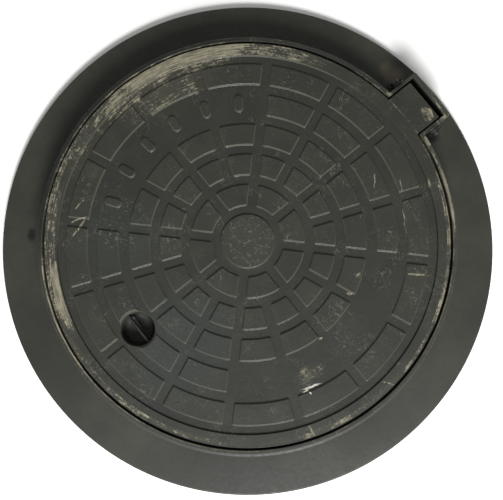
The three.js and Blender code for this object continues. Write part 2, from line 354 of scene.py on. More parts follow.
def piece(name, bm, body, material, smooth=35):
    """A finished piece in metres, smooth except over edges sharper than an angle."""
    bmesh.ops.remove_doubles(bm, verts=bm.verts, dist=0.01)
    bmesh.ops.scale(bm, vec=(MM, MM, MM), verts=bm.verts)
    obj = working_object(bm, name)
    obj.data.name = name
    obj.data.shade_smooth()
    obj.data.set_sharp_from_angle(angle=math.radians(smooth))
    weighted = obj.modifiers.new("weighted normals", "WEIGHTED_NORMAL")
    weighted.keep_sharp = True
    obj.data.materials.clear()
    obj.data.materials.append(material)
    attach(obj, body)
    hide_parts(name.rsplit("_", 1)[0])
    return obj


# ---- Lid -----------------------------------------------------------------------------------------
def tile(outer, places):
    """One raised tile of the tread on +X, between two straight channels."""
    bm = bmesh.new()
    flare = SIDE_TO_TOP_EDGE
    half_pitch = math.pi / places
    ends = [bm.verts.new((r, 0, FIELD_Z)) for r in (outer - TILE_LENGTH - flare, outer + flare)]
    edge = bm.edges.new(ends)
    bmesh.ops.rotate(bm, verts=ends, cent=(0, 0, 0), matrix=Matrix.Rotation(-half_pitch, 3, "Z"))
    bmesh.ops.spin(
        bm, geom=[edge, *ends], cent=(0, 0, 0), axis=(0, 0, 1), angle=2 * half_pitch, steps=TILE_STEPS,
        use_merge=False,
    )
    for side in (-1, 1):
        away = Vector((-math.sin(side * half_pitch), math.cos(side * half_pitch), 0)) * side
        bmesh.ops.bisect_plane(
            bm,
            geom=[*bm.verts, *bm.edges, *bm.faces],
            plane_co=-away * (CHANNEL_HALF - flare),
            plane_no=away,
            clear_outer=True,
        )
    bmesh.ops.dissolve_faces(bm, faces=bm.faces)
    clear_corners(bm, TILE_CORNER_CLEAR)
    bevel(bm, corner_verts(only_face(bm)), TILE_CORNER_R, affect="VERTICES")
    return raise_outline(bm, only_face(bm), RAISED_SIDE, RAISED_ROOT)


def stud():
    """One of the plain raised studs, lying along +X."""
    bm = bmesh.new()
    half_width = STUD_HALF_WIDTH + SIDE_TO_TOP_EDGE
    straight = STUD_HALF_HEIGHT - STUD_HALF_WIDTH
    steps = 8
    points = []
    for end in (1, -1):
        for i in range(steps + 1):
            angle = math.pi * i / steps - RIGHT_ANGLE
            along = straight + half_width * math.cos(angle)
            points.append((STUD_R + end * along, end * half_width * math.sin(angle)))
    face = bm.faces.new([bm.verts.new((x, y, FIELD_Z)) for x, y in points])
    bm.normal_update()
    return raise_outline(bm, face, RAISED_SIDE, RAISED_ROOT)


def tread():
    """All the rings of tiles and the arc of studs."""
    bm = bmesh.new()
    for outer, places, plain in TILE_RINGS:
        pitch = math.tau / places
        angles = [math.pi / 2 + (i + 0.5) * pitch for i in range(places) if i not in plain]
        stamp(bm, tile(outer, places), angles)
    middle = (STUD_COUNT - 1) / 2
    stamp(bm, stud(), [math.pi + (i - middle) * STUD_PITCH for i in range(STUD_COUNT)])
    return bm


def lid_plate():
    """The lid's disc, with its hub and skirt below and its rim and centre disc above."""
    return turned(
        (
            (0, HUB_Z, 0),
            (HUB_R - HUB_TAPER, HUB_Z, 4),
            (HUB_R, PLATE_Z, 4),
            (CLEAR_R - SKIRT_FILLET, PLATE_Z, 6),
            (CLEAR_R, SKIRT_Z, 1.5),
            (LID_R - SKIRT_TAPER, SKIRT_Z, 2),
            (LID_R, HEIGHT, RIM_EDGE),
            (RIM_IN, HEIGHT, EDGE_SOFTENING),
            (RIM_IN - STEP_SLOPE, FIELD_Z, EDGE_SOFTENING),
            (CENTRE_DISC_R + STEP_SLOPE, FIELD_Z, EDGE_SOFTENING),
            (CENTRE_DISC_R, HEIGHT, EDGE_SOFTENING),
            (0, HEIGHT, 0),
        )
    )


def tongue():
    """The tongue through the frame's pocket, with the barrel that turns on the pin."""
    under = HEIGHT - TONGUE_THICKNESS
    outline = [(TONGUE_ROOT, HEIGHT), (TONGUE_ROOT, under), (PIN_Y - LUG_R, under)]
    steps = 12
    for i in range(steps + 1):
        angle = math.pi * (1 + i / steps)
        outline.append((PIN_Y + LUG_R * math.cos(angle), PIN_Z + LUG_R * math.sin(angle)))
    outline.append((TONGUE_END, HEIGHT))
    bm = prism([(-TONGUE_HALF, y, z) for y, z in outline], (2 * TONGUE_HALF, 0, 0))

    def at_end_corner(co):
        return abs(abs(co.x) - TONGUE_HALF) < NEAR and abs(co.y - TONGUE_END) < NEAR

    def on_top(co):
        return abs(co.z - HEIGHT) < NEAR

    upright = [e for e in edges_where(bm, at_end_corner) if abs(e.verts[0].co.z - e.verts[1].co.z) > 1]
    bevel(bm, upright, TONGUE_CORNER_R)
    border = [e for e in edges_where(bm, on_top) if max(v.co.y for v in e.verts) > TONGUE_ROOT + 1]
    bevel(bm, border, RIM_EDGE)
    return bm


def ribs():
    """The ribs from the hub to the skirt, deepest at the hub, with a rounded lower edge."""
    bm = bmesh.new()
    outer = CLEAR_R + JOIN_OVERLAP
    root_z = PLATE_Z + 2
    section = [(RIB_ROOT_HALF, root_z), (-RIB_ROOT_HALF, root_z)]
    quarter = [math.radians(30 * i) for i in range(4)]
    for side, angles in ((-1, quarter), (1, reversed(quarter))):
        for angle in angles:
            across = side * (RIB_HALF - RIB_EDGE + RIB_EDGE * math.cos(angle))
            section.append((across, RIB_LOW_AT_HUB + RIB_EDGE - RIB_EDGE * math.sin(angle)))
    rib = prism([(RIB_IN, y, z) for y, z in section], (outer - RIB_IN, 0, 0))
    for v in rib.verts:
        if v.co.x > RIB_IN + 1 and v.co.z < PLATE_Z:
            v.co.z += RIB_LOW_AT_SKIRT - RIB_LOW_AT_HUB
    stamp(bm, rib, [(i + 0.5) * math.tau / RIB_COUNT for i in range(RIB_COUNT)])
    return bm


def cup_outside():
    """The bowl under the lifting hole, from outside."""
    radius = HOLE_R + CUP_WALL
    bottom = CUP_BOTTOM - CUP_FLOOR
    top = PLATE_Z + JOIN_OVERLAP
    return turned(
        ((0, bottom, 0), (radius - 5, bottom, CUP_OUTER_R), (radius, top, 0), (0, top, 0)),
        steps=CUP_STEPS,
        centre=(0, HOLE_Y),
        segments=6,
    )


def cup_inside():
    """The room in the lifting hole, with the chamfer at its mouth."""
    top = HEIGHT + CUT_PAST
    return turned(
        (
            (0, CUP_BOTTOM, 0),
            (HOLE_R - 2, CUP_BOTTOM, CUP_INNER_R),
            (HOLE_R, HEIGHT - HOLE_CHAMFER, 2),
            (HOLE_R + HOLE_CHAMFER + CUT_PAST, top, 0),
            (0, top, 0),
        ),
        steps=CUP_STEPS,
        centre=(0, HOLE_Y),
        segments=5,
    )


def lifting_bar_slot():
    """The slots in the cup's wall that hold the ends of the lifting bar."""
    room = Vector((BAR_ROOM, BAR_ROOM, BAR_ROOM))
    low, high = BAR_LOW - room, BAR_HIGH + room
    return block(low.x, high.x, low.y, high.y, low.z, high.z)


def lid_shape():
    """The whole lid casting."""
    pin_bore = bar_x(BORE_R, TONGUE_HALF + CUT_PAST, PIN_Y, PIN_Z)
    return carved(
        lid_plate(),
        added=[tread(), tongue(), ribs(), cup_outside()],
        removed=[cup_inside(), lifting_bar_slot(), pin_bore],
    )


# ---- Frame ---------------------------------------------------------------------------------------
def frame_ring():
    """The frame's foot, flange, wall, seat and gasket groove."""
    return turned(
        (
            (FOOT_IN, 0, 1),
            (HOLLOW_IN, 0, 1),
            (HOLLOW_IN + HOLLOW_TAPER, HOLLOW_TOP, 3),
            (HOLLOW_OUT - HOLLOW_TAPER, HOLLOW_TOP, 3),
            (HOLLOW_OUT, 0, 1),
            (BASE_R, 0, 1.5),
            (BASE_R, FLANGE_EDGE_Z, 3),
            (FLANGE_BREAK_R, FLANGE_TOP_Z, 0),
            (WALL_OUT + WALL_LEAN, FLANGE_TOP_Z, 8),
            (WALL_OUT, HEIGHT, 1.6),
            (WALL_IN, HEIGHT, 0.7),
            (WALL_IN - SEAT_TAPER, SEAT_Z, 1),
            (GROOVE_OUT, SEAT_Z, EDGE_SOFTENING),
            (GROOVE_OUT, GROOVE_Z, 0),
            (GROOVE_IN, GROOVE_Z, 0),
            (GROOVE_IN, SEAT_Z, EDGE_SOFTENING),
            (CLEAR_R, SEAT_Z, 2),
        ),
        segments=4,
    )


def frame_webs():
    """The webs that tie the frame's foot to its flange under the seat."""
    bm = bmesh.new()
    inner = HOLLOW_IN - JOIN_OVERLAP
    outer = HOLLOW_OUT + JOIN_OVERLAP
    web = block(inner, outer, -WEB_HALF, WEB_HALF, WEB_FOOT, HOLLOW_TOP + JOIN_OVERLAP)
    pitch = math.tau / WEB_COUNT
    stamp(bm, web, [(i + 0.5) * pitch for i in range(WEB_COUNT)])
    return bm


def pocket_block():
    """The block that stands on the flange round the tongue."""
    half = POCKET_HALF + POCKET_SIDE
    back = POCKET_END + POCKET_BACK
    front = WALL_IN + JOIN_OVERLAP
    bm = block(-half, half, front, back, POCKET_FOOT, HEIGHT)
    upright = edges_where(bm, lambda co: abs(abs(co.x) - half) < NEAR and abs(co.y - back) < NEAR)
    bevel(bm, upright, POCKET_CORNER_R)
    border = edges_where(bm, lambda co: abs(co.z - HEIGHT) < NEAR and co.y > front + 0.5)
    bevel(bm, border, RIM_EDGE)
    return bm


def frame_shape():
    """The whole frame casting."""
    top = HEIGHT + CUT_PAST
    return carved(
        frame_ring(),
        added=[frame_webs(), pocket_block(), bar_x(BOSS_R, BOSS_END, PIN_Y, PIN_Z, 1.5)],
        removed=[
            block(-POCKET_HALF, POCKET_HALF, WALL_IN, POCKET_END, POCKET_FLOOR, top),
            block(-POCKET_HALF, POCKET_HALF, LEDGE_EDGE, POCKET_END, SEAT_Z, top),
            bar_x(BORE_R, BOSS_END + CUT_PAST, PIN_Y, PIN_Z),
        ],
    )


# ---- Hinge hardware, seat ring and lifting bar ---------------------------------------------------
def gasket():
    """The rubber ring in the seat's groove, with rounded shoulders."""
    inner = GASKET_HIGH.x - GASKET_WIDTH
    return turned(
        (
            (inner, GASKET_LOW.z, 1),
            (GASKET_HIGH.x, GASKET_LOW.z, 1),
            (GASKET_HIGH.x, GASKET_HIGH.z, GASKET_SHOULDER),
            (inner, GASKET_HIGH.z, GASKET_SHOULDER),
        ),
        segments=4,
    )


def hinge_pin():
    """The steel pin, with a cross hole for a split pin near each end."""
    holes = []
    half = PIN_R + CUT_PAST
    for side in (-1, 1):
        profile = ((0, -half, 0), (SPLIT_HOLE_R, -half, 0), (SPLIT_HOLE_R, half, 0), (0, half, 0))
        hole = turned(profile, steps=16)
        bmesh.ops.rotate(hole, verts=hole.verts, cent=(0, 0, 0), matrix=Matrix.Rotation(RIGHT_ANGLE, 3, "X"))
        bmesh.ops.translate(hole, verts=hole.verts, vec=(side * SPLIT_X, PIN_Y, PIN_Z))
        holes.append(hole)
    return carved(bar_x(PIN_R, PIN_HALF, PIN_Y, PIN_Z, 1.5), added=[], removed=holes)


def washer(side):
    """The flat washer between a boss and its split pin."""
    half = (WASHER_HIGH.x - WASHER_LOW.x) / 2
    outer = (WASHER_HIGH.z - WASHER_LOW.z) / 2
    bm = turned(
        ((BORE_R, -half, 0), (outer, -half, 0.5), (outer, half, 0.5), (BORE_R, half, 0)), steps=48, segments=2
    )
    turn_to_x(bm, PIN_Y, PIN_Z)
    bmesh.ops.translate(bm, verts=bm.verts, vec=(side * (WASHER_LOW.x + half), 0, 0))
    return bm


def split_pin(side):
    """A split pin: one wire bent double round an eye, with its legs bent apart behind the hinge pin."""
    reach = PIN_R + 1.5
    eye_centre = reach + EYE_R
    eye = []
    for degrees in range(EYE_STEP, 361 - EYE_STEP, EYE_STEP):
        angle = math.radians(degrees)
        eye.append((EYE_R * math.sin(angle), eye_centre - EYE_R * math.cos(angle)))
    leg_end = -reach - LEG_DROP
    heights = (-reach, 0, reach)
    one_side = [(LEG_SPREAD, leg_end), *[(WIRE_R, y) for y in heights]]
    other_side = [*[(-WIRE_R, y) for y in reversed(heights)], (-LEG_SPREAD, leg_end)]
    route = [*one_side, *eye, *other_side]
    curve = bpy.data.curves.new("wire", "CURVE")
    curve.dimensions = "3D"
    curve.bevel_depth = WIRE_R
    curve.bevel_resolution = 3
    curve.use_fill_caps = True
    spline = curve.splines.new("POLY")
    spline.points.add(len(route) - 1)
    for point, (z, y) in zip(spline.points, route):
        point.co = (side * SPLIT_X, PIN_Y + y, PIN_Z + z, 1)
    working = bpy.data.objects.new("wire", curve)
    bpy.context.scene.collection.objects.link(working)
    bpy.context.view_layer.update()
    mesh = bpy.data.meshes.new_from_object(working.evaluated_get(bpy.context.evaluated_depsgraph_get()))
    bm = bmesh.new()
    bm.from_mesh(mesh)
    bpy.data.objects.remove(working)
    bpy.data.curves.remove(curve)
    bpy.data.meshes.remove(mesh)
    bmesh.ops.remove_doubles(bm, verts=bm.verts, dist=0.01)
    bmesh.ops.recalc_face_normals(bm, faces=bm.faces)
    return bm


def lifting_bar():
    """The flat bar on edge across the lifting hole, with its long edges rounded."""
    bm = block(BAR_LOW.x, BAR_HIGH.x, BAR_LOW.y, BAR_HIGH.y, BAR_LOW.z, BAR_HIGH.z)
    long_edges = [e for e in bm.edges if abs(e.verts[0].co.x - e.verts[1].co.x) > 1]
    bevel(bm, long_edges, BAR_EDGE)
    return bm


# ---- Camera and light ----------------------------------------------------------------------------
IMAGE_RIGHT = math.radians(51.25)  # where the camera's right-hand side points in the XY plane
CAMERA_TILT = math.radians(5.2)
CAMERA_DISTANCE = 1218
CAMERA_LENS = 55.8
AIM_RIGHT = 6.2
AIM_DOWN = 14.2


def camera():
    """The camera, nearly straight above the lid."""
    right = Vector((math.cos(IMAGE_RIGHT), math.sin(IMAGE_RIGHT), 0))
    down = Vector((right.y, -right.x, 0))
    aim = Vector((0, 0, HEIGHT)) + AIM_RIGHT * right + AIM_DOWN * down
    away = math.sin(CAMERA_TILT) * down + math.cos(CAMERA_TILT) * Vector((0, 0, 1))
    data = bpy.data.cameras.new("camera")
    data.lens = CAMERA_LENS
    obj = bpy.data.objects.new("camera", data)
    up = right.cross(-away)
    turn = Matrix((right, away.cross(right), away)).transposed()
    obj.matrix_world = Matrix.Translation((aim + CAMERA_DISTANCE * away) * MM) @ turn.to_4x4()
    bpy.context.scene.collection.objects.link(obj)
    bpy.context.scene.camera = obj


def rgb(code):
    """A hex colour as linear red, green, blue and alpha."""
    values = [int(code[i : i + 2], 16) / 255 for i in (1, 3, 5)]
    return [v / 12.92 if v <= 0.04045 else ((v + 0.055) / 1.055) ** 2.4 for v in values] + [1]


def softbox(name, bearing, elevation, distance, size, power):
    """A square area light that faces the lid, its bearing anticlockwise from the camera's right-hand side."""
    data = bpy.data.lights.new(name, "AREA")
    data.size = size
    data.energy = power
    angle = IMAGE_RIGHT + math.radians(bearing)
    rise = math.radians(elevation)
    away = Vector((math.cos(angle) * math.cos(rise), math.sin(angle) * math.cos(rise), math.sin(rise)))
    obj = bpy.data.objects.new(name, data)
    obj.matrix_world = Matrix.Translation(away * distance) @ away.to_track_quat("Z", "Y").to_matrix().to_4x4()
    bpy.context.scene.collection.objects.link(obj)


def node(tree, kind, settings=None, **sockets):
    """Adds a node with its settings and its inputs, by name or as _0, _1. Returns its first live output."""
    new = tree.nodes.new(kind)
    for key, value in (settings or {}).items():
        setattr(new, key, value)
    for key, value in sockets.items():
        named = [s for s in new.inputs if s.enabled and s.name.replace(" ", "_").lower() == key]
        socket = named[0] if named else new.inputs[int(key[1:])]
        if isinstance(value, bpy.types.NodeSocket):
            tree.links.new(value, socket)
        else:
            socket.default_value = value
    return next(s for s in new.outputs if s.enabled)


# ---- Materials -----------------------------------------------------------------------------------
def per_metre(size):
    """The scale of a pattern whose features are size millimetres across."""
    return 1 / (size * MM)


def blank_material(name):
    """A new material with its node tree and its shader."""
    material = bpy.data.materials.new(name)
    material.use_nodes = True
    return material, material.node_tree, material.node_tree.nodes["Principled BSDF"]


def matt_backdrop_paint():
    """Plain pale paint for the floor."""
    material, tree, shader = blank_material("matt_backdrop_paint")
    shader.inputs["Base Color"].default_value = rgb("#f4f4f2")
    shader.inputs["Roughness"].default_value = 0.9
    return material


# Bearings below are in degrees anticlockwise from the hinge, and lengths in millimetres.
# Worn stretches: bearing, half of the stretch, inner and outer radius, and how much of the coating is gone.
LID_WORN_ARCS = (
    (71, 25, 299, 320, 0.8),
    (66, 42, 299, 320, 0.48),
    (54, 14, 299, 312, 0.62),
    (80, 15, 252, 300, 0.42),
    (81, 27, 285, 300, 0.49),
    (92, 15, 299, 312, 0.58),
    (100, 22, 286, 318, 0.36),
    (126, 14, 309, 319, 0.55),
    (146, 24, 301, 320, 0.5),
    (157, 10, 299.5, 312, 0.95),
    (195, 30, 309, 321, 0.45),
    (306, 34, 312, 320, 0.5),
    (262, 22, 309, 320, 0.42),
    (0, 180, 317, 321, 0.32),
    (337, 14, 316, 321, 0.8),
)
FRAME_WORN_ARCS = (
    (0, 180, 320, 323.2, 0.42),
    (192, 50, 320, 324, 0.74),
    (290, 50, 320, 323.6, 0.62),
    (45, 60, 326, 330, 0.4),
    (336, 12, 321, 327, 0.78),
)
# Scratches and chips: bearing, radius, half length, half width, turn from the radius, and cover.
LID_SCRATCHES = (
    (257, 225, 24, 12, 85, 0.42),
    (310, 269, 15, 1.8, 6, 0.85),
    (328, 249, 22, 1.4, 88, 0.62),
    (340, 256, 16, 1.2, 80, 0.55),
    (294, 179, 4.5, 2.6, 20, 0.85),
    (304, 180, 8, 2, 70, 0.6),
    (268, 190, 3.2, 1.8, 60, 0.75),
    (250, 310, 11, 1.4, 12, 0.75),
    (276, 311, 12, 1.2, 30, 0.7),
    (137, 266, 17, 1.5, 62, 0.8),
    (134, 268, 15, 1.4, 25, 0.75),
    (129, 270, 14, 1.4, 60, 0.7),
    (116, 264, 16, 12, 70, 0.32),
    (347, 222, 12, 1.3, 60, 0.6),
    (339, 300, 9, 2, 75, 0.6),
)
FRAME_SCRATCHES = (
    (350.5, 325.5, 3, 9, 0, 0.9),
    (7.5, 325, 3, 5, 0, 0.6),
    (303, 341, 5, 7, 0, 0.5),
    (352, 352, 13, 5, 60, 0.42),
    (356, 376, 6, 34, 0, 0.4),
    (353, 370, 12, 8, 0, 0.5),
)
TONGUE_CORNER_WEAR = ((356.6, 349, 14, 8, 80, 0.5), (356.3, 355, 9, 3.5, 80, 0.9))
# Near-black along the round gap on both castings, and painted shade on top of the frame's wall on the side away
# from the key light and on the step inside the lid's rim.
DARK_GAP_AND_PAINTED_SHADE_ARCS = (
    (265, 84, 317.3, 322.8, 0.9),
    (37, 26, 317.6, 322.8, 0.9),
    (248, 50, 316.6, 323.3, 0.95),
    # Painted shade on top of the frame's wall, on the side away from the key light.
    (97, 50, 322.5, 331, 0.75),
    (38, 34, 322.5, 331, 0.4),
    # Painted shade on the lid's rim step, where it faces away from the key light.
    (236, 36, 286, 298, 0.3),
)
# The lid's rim catches the light along this stretch of its inner edge.
RIM_GLINT = ((81, 64, 296, 300, 0.9),)
# Stains over the coating, with patches of painted shade, highlight and reflection among them: bearing, radius,
# half length, half width, turn, amount and colour.
LID_STAINS_AND_PAINTED_REFLECTION = (
    # Bluish patches of painted reflection over the tread.
    (198, 190, 90, 70, 0, 0.5, "#2d3130"),
    (140, 200, 60, 60, 0, 0.3, "#2a302e"),
    (0, 0, 42, 42, 0, 0.5, "#33332d"),
    (80, 286, 40, 80, 0, 0.3, "#3a382f"),
    (255, 246, 13, 1.1, 85, 0.95, "#c4c1b4"),
    (252.5, 249, 6, 1, 110, 0.95, "#c4c1b4"),
    (253.6, 252, 3.5, 1, 20, 0.95, "#c4c1b4"),
)
FRAME_STAINS_SHADE_AND_HIGHLIGHT = (
    # Painted shade: black patches in the corners between the frame's wall and the hinge pocket's sides.
    (351.6, 348, 13, 10, 0, 0.92, "#060606"),
    (8.4, 348, 13, 10, 0, 0.92, "#060606"),
    # A light brown patch of dust and painted highlight on the flange beside the pocket.
    (11, 371, 14, 20, 0, 0.6, "#6a6252"),
    (138.8, 352, 6, 10, 0, 0.9, "#0c0c0a"),
    # Darker patches over the flange on the side towards the key light.
    (168, 365, 60, 90, 0, 0.4, "#1a1b17"),
    (262, 352, 36, 60, 0, 0.5, "#1a1b17"),
    (228, 368, 50, 150, 0, 0.62, "#1a1b17"),
)


def soft_window(tree, value, low, high, soft, peak):
    """Peak between two limits, easing to nothing outside them."""
    easing = {"interpolation_type": "SMOOTHSTEP"}
    rise = node(
        tree, "ShaderNodeMapRange", easing, value=value, from_min=low - soft, from_max=low + soft, to_max=peak
    )
    fall = node(
        tree, "ShaderNodeMapRange", easing, value=value, from_min=high - soft, from_max=high + soft,
        to_min=1.0, to_max=0.0,
    )
    return node(tree, "ShaderNodeMath", {"operation": "MULTIPLY"}, _0=rise, _1=fall)


def arc_mask(tree, heading, radius, arcs):
    """A mask over arcs round the cover, from 0 to 1: how far the coating is gone, and also the dark gap with its
    painted shade and the rim's painted highlight.
    """
    total = 0.0
    for bearing, half, inner, outer, cover in arcs:
        mask = soft_window(tree, radius, inner * MM, outer * MM, 1.2 * MM, cover)
        if half < 180:
            angle = math.radians(90 + bearing)
            ahead = node(
                tree, "ShaderNodeVectorMath", {"operation": "DOT_PRODUCT"}, _0=heading,
                _1=(math.cos(angle), math.sin(angle), 0),
            )
            along = node(
                tree, "ShaderNodeMapRange", {"interpolation_type": "SMOOTHSTEP"}, value=ahead,
                from_min=math.cos(math.radians(half + 5)), from_max=math.cos(math.radians(max(half - 11, 1))),
            )
            mask = node(tree, "ShaderNodeMath", {"operation": "MULTIPLY"}, _0=mask, _1=along)
        total = node(tree, "ShaderNodeMath", {"operation": "MAXIMUM"}, _0=total, _1=mask)
    return total


def oval_mask(tree, flat, bearing, radius, half_length, half_width, turn, peak, soft=0.3):
    """Peak over an oval, falling to nothing across its edge."""
    angle = math.radians(90 + bearing)
    local = node(
        tree, "ShaderNodeMapping", {"vector_type": "TEXTURE"}, vector=flat,
        location=(radius * MM * math.cos(angle), radius * MM * math.sin(angle), 0),
        rotation=(0, 0, angle + math.radians(turn)), scale=(half_length * MM, half_width * MM, 1),
    )
    away = node(tree, "ShaderNodeVectorMath", {"operation": "LENGTH"}, _0=local)
    return node(
        tree, "ShaderNodeMapRange", {"interpolation_type": "SMOOTHSTEP"}, value=away, from_min=1 - soft,
        from_max=1 + soft, to_min=peak, to_max=0.0,
    )


def grain(tree, place, size, detail=4.0, low=0.3, high=0.7, **sockets):
    """Noise of a feature size in millimetres, stretched to run from 0 to 1 between two levels."""
    texture = node(tree, "ShaderNodeTexNoise", vector=place, scale=per_metre(size), detail=detail, **sockets)
    return node(tree, "ShaderNodeMapRange", value=texture, from_min=low, from_max=high)


def layered(tree, colour, *layers):
    """A colour under layers, each one some masks that are multiplied together and a hex colour."""
    for *masks, code in layers:
        amount = masks[0]
        for mask in masks[1:]:
            amount = node(tree, "ShaderNodeMath", {"operation": "MULTIPLY"}, _0=amount, _1=mask)
        colour = node(tree, "ShaderNodeMix", {"data_type": "RGBA"}, factor=amount, a=colour, b=rgb(code))
    return colour


def coated_cast_iron(name, arcs, scratches, stains_and_painted_light, dark, light, own_dirt_and_painted_light, roughcast):
    """Sand-cast iron under a thin black bitumen coating: a sandy grain with a soft gloss, rubbed through to beige,
    dusty metal where it is walked on, darker with dirt and painted shade in the corners, with painted highlights
    on the lid's tread and patches of painted shade, highlight and reflection among its stains."""
    material, tree, shader = blank_material(name)
    place = node(tree, "ShaderNodeTexCoord").node.outputs["Object"]
    height = node(tree, "ShaderNodeSeparateXYZ", vector=place).node.outputs["Z"]
    top = node(
        tree, "ShaderNodeMapRange", value=height, from_min=(FIELD_Z - 8) * MM, from_max=(FIELD_Z - 2) * MM
    )

    # The same place with its outlines made to wander, and with its height left out.
    wander = node(tree, "ShaderNodeTexNoise", vector=place, scale=per_metre(12), detail=3.0)
    wander = wander.node.outputs["Color"]
    shift = node(tree, "ShaderNodeVectorMath", {"operation": "SUBTRACT"}, _0=wander, _1=(0.5, 0.5, 0.5))
    reach = (6 * MM, 6 * MM, 0)
    moved = node(tree, "ShaderNodeVectorMath", {"operation": "MULTIPLY_ADD"}, _0=shift, _1=reach, _2=place)
    flat = node(tree, "ShaderNodeVectorMath", {"operation": "MULTIPLY"}, _0=moved, _1=(1, 1, 0))
    still = node(tree, "ShaderNodeVectorMath", {"operation": "MULTIPLY"}, _0=place, _1=(1, 1, 0))
    radius = node(tree, "ShaderNodeVectorMath", {"operation": "LENGTH"}, _0=still).node.outputs["Value"]
    heading = node(tree, "ShaderNodeVectorMath", {"operation": "NORMALIZE"}, _0=flat)

    # Streaks that run round the cover, 24 mm long and 2 mm wide.
    around = node(tree, "ShaderNodeVectorMath", {"operation": "SCALE"}, _0=heading, scale=CLEAR_R / 24)
    lanes = node(tree, "ShaderNodeMath", {"operation": "MULTIPLY"}, _0=radius, _1=per_metre(2))
    outward = node(tree, "ShaderNodeCombineXYZ", z=lanes)
    rolled = node(tree, "ShaderNodeVectorMath", {"operation": "ADD"}, _0=around, _1=outward)
    streaks = node(tree, "ShaderNodeTexNoise", vector=rolled, scale=1.0, detail=4.0, roughness=0.65)

    # Wear: how far the coating is gone, broken up by chips, streaks and patches.
    gone = arc_mask(tree, heading, radius, arcs)
    for scratch in scratches:
        spot = oval_mask(tree, flat, *scratch)
        gone = node(tree, "ShaderNodeMath", {"operation": "MAXIMUM"}, _0=gone, _1=spot)
    chips = node(tree, "ShaderNodeTexNoise", vector=place, scale=per_metre(4), detail=6.0, roughness=0.7)
    patches = node(tree, "ShaderNodeTexNoise", vector=place, scale=per_metre(26), detail=4.0)
    level = gone
    for noise, weight in ((chips, 1.2), (streaks, 0.9), (patches, 0.9)):
        level = node(tree, "ShaderNodeMath", {"operation": "MULTIPLY_ADD"}, _0=noise, _1=weight, _2=level)
    worn = node(tree, "ShaderNodeMapRange", value=level, from_min=1.98, from_max=2.16)
    worn = node(tree, "ShaderNodeMath", {"operation": "MULTIPLY"}, _0=worn, _1=top)

    # The coating: blotches, a finer mottle, stains with painted shade, highlight and reflection among them, dust
    # round the worn places and hairline scratches.
    blotches = grain(tree, place, 60, detail=5.0)
    mottle = grain(tree, place, 8, detail=5.0)
    coat = layered(tree, rgb(dark), (blotches, light), (mottle, 0.3, "#1b1c19"))
    for *oval, colour in stains_and_painted_light:
        coat = layered(tree, coat, (oval_mask(tree, flat, *oval, soft=0.6), colour))
    dusty = grain(tree, rolled, 1 / MM)
    wisps = node(tree, "ShaderNodeTexNoise", vector=place, scale=per_metre(15), detail=2.0, distortion=1.2)
    off_line = node(tree, "ShaderNodeMath", {"operation": "COMPARE"}, _0=wisps, _1=0.5, _2=0.012)
    scuffed = grain(tree, place, 48, low=0.5, high=0.62)
    disc = oval_mask(tree, still, 0, 0, CENTRE_DISC_R, CENTRE_DISC_R, 0, 1.0)
    scuffed = node(tree, "ShaderNodeMath", {"operation": "MAXIMUM"}, _0=scuffed, _1=disc)
    specks = grain(tree, place, 2.2, detail=2.0, low=0.6, high=0.68)
    rubbed = grain(tree, place, 75, detail=2.0, low=0.5, high=0.56)
    coat = layered(
        tree, coat,
        (gone, dusty, top, 0.75, "#4d4b42"),
        (off_line, scuffed, top, 0.36, "#6c6b62"),
        (specks, rubbed, top, 0.22, "#5b5a53"),
    )
    # Each casting's own dirt, painted shade and painted highlight.
    coat, edge = own_dirt_and_painted_light(tree, coat, place, heading, radius, top)
    bare_tone = node(tree, "ShaderNodeMapRange", value=streaks, from_min=0.32, from_max=0.68)
    bare = layered(tree, rgb("#46433a"), (bare_tone, "#8f8a74"), (mottle, 0.35, "#35332c"))
    colour = node(tree, "ShaderNodeMix", {"data_type": "RGBA"}, factor=worn, a=coat, b=bare)
    # Near-black along the round gap, and painted shade on the frame wall's top and the lid's rim step.
    colour = layered(tree, colour, (arc_mask(tree, heading, radius, DARK_GAP_AND_PAINTED_SHADE_ARCS), top, "#080807"))
    tree.links.new(colour, shader.inputs["Base Color"])

    gloss = node(tree, "ShaderNodeMapRange", value=mottle, to_min=0.44, to_max=0.56)
    polished = node(tree, "ShaderNodeMix", factor=edge, a=gloss, b=0.2)
    rough = node(tree, "ShaderNodeMix", factor=worn, a=polished, b=0.8)
    shader.inputs["Specular IOR Level"].default_value = 0.28
    tree.links.new(rough, shader.inputs["Roughness"])

    sand = node(tree, "ShaderNodeTexNoise", vector=place, scale=per_metre(1.6), detail=3.0, roughness=0.6)
    relief = node(tree, "ShaderNodeMath", {"operation": "MULTIPLY_ADD"}, _0=mottle, _1=0.6, _2=sand)
    relief = node(tree, "ShaderNodeMath", {"operation": "MULTIPLY_ADD"}, _0=worn, _1=-0.3, _2=relief)
    bump = node(tree, "ShaderNodeBump", strength=roughcast, distance=0.4 * MM, height=relief)
    tree.links.new(bump, shader.inputs["Normal"])
    return material


